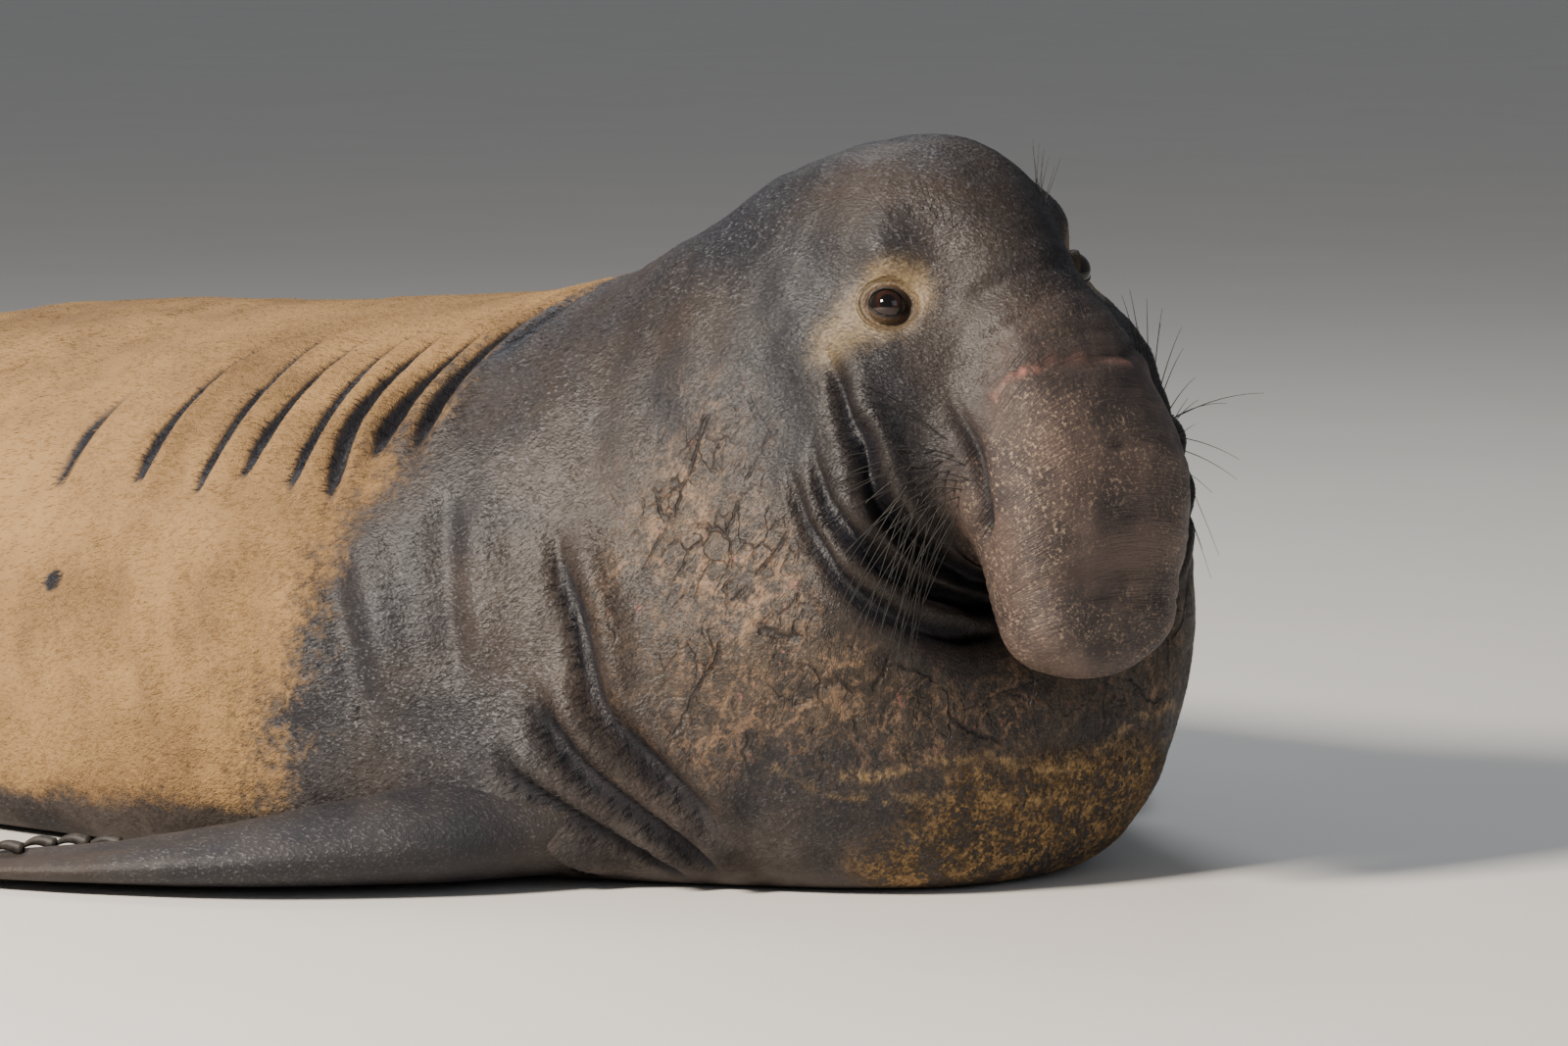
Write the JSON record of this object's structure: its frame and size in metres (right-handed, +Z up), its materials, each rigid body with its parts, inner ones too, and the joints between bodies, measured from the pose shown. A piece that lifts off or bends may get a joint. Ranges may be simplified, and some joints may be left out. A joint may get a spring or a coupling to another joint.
{
  "type": "elephant seal",
  "caption": "Life-size still model of an adult bull elephant seal lying with its head raised and its proboscis hanging over the mouth.",
  "frame": {"origin": "middle of the underside of the box round the animal, on the floor", "axes": "+X towards the head, +Y to the animal's left, +Z up"},
  "size_m": [4.203, 1.8526, 0.8951],
  "materials": {
    "hide": "short flat fur over wrinkled hide, slightly damp sheen",
    "trunk_skin": "bare wrinkled skin",
    "flipper_skin": "leathery skin with short fur",
    "eye": "wet, dark brown",
    "nail": "dark horn, half gloss"
  },
  "bodies": {
    "root": {"eye_left": "eye", "eye_right": "eye", "fore_flipper_left": "flipper_skin", "fore_flipper_right": "flipper_skin", "head": "hide", "hind_flipper_left": "flipper_skin", "hind_flipper_right": "flipper_skin", "hips": "hide", "nail_left_1": "nail", "nail_left_2": "nail", "nail_left_3": "nail", "nail_left_4": "nail", "nail_left_5": "nail", "nail_right_1": "nail", "nail_right_2": "nail", "nail_right_3": "nail", "nail_right_4": "nail", "nail_right_5": "nail", "neck": "hide", "proboscis": "trunk_skin", "tail": "hide", "torso_front": "hide", "torso_middle": "hide", "torso_rear": "hide"}
  },
  "joints": []
}
